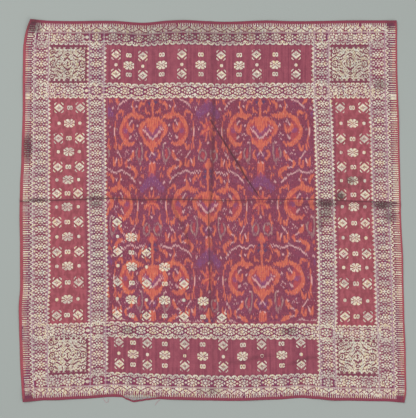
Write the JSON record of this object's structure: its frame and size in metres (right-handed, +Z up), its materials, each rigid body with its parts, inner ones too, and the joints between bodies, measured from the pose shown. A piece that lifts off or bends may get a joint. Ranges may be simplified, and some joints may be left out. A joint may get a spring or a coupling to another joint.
{
  "type": "songket head cloth",
  "caption": "Square silk songket head cloth with gold-thread borders and corner squares, lying flat face up, its lower selvedge torn loose.",
  "frame": {"origin": "middle of the cloth in plan, on the surface it lies on", "axes": "+Z up from the cloth's face, +X along the warp to the picture's right, +Y along the weft to the picture's top"},
  "size_m": [0.8737, 0.8681, 0.0105],
  "materials": {
    "songket_cloth": "crimson and violet silk with pale gold thread floats"
  },
  "bodies": {
    "root": {"songket_cloth": "songket_cloth"}
  },
  "joints": []
}
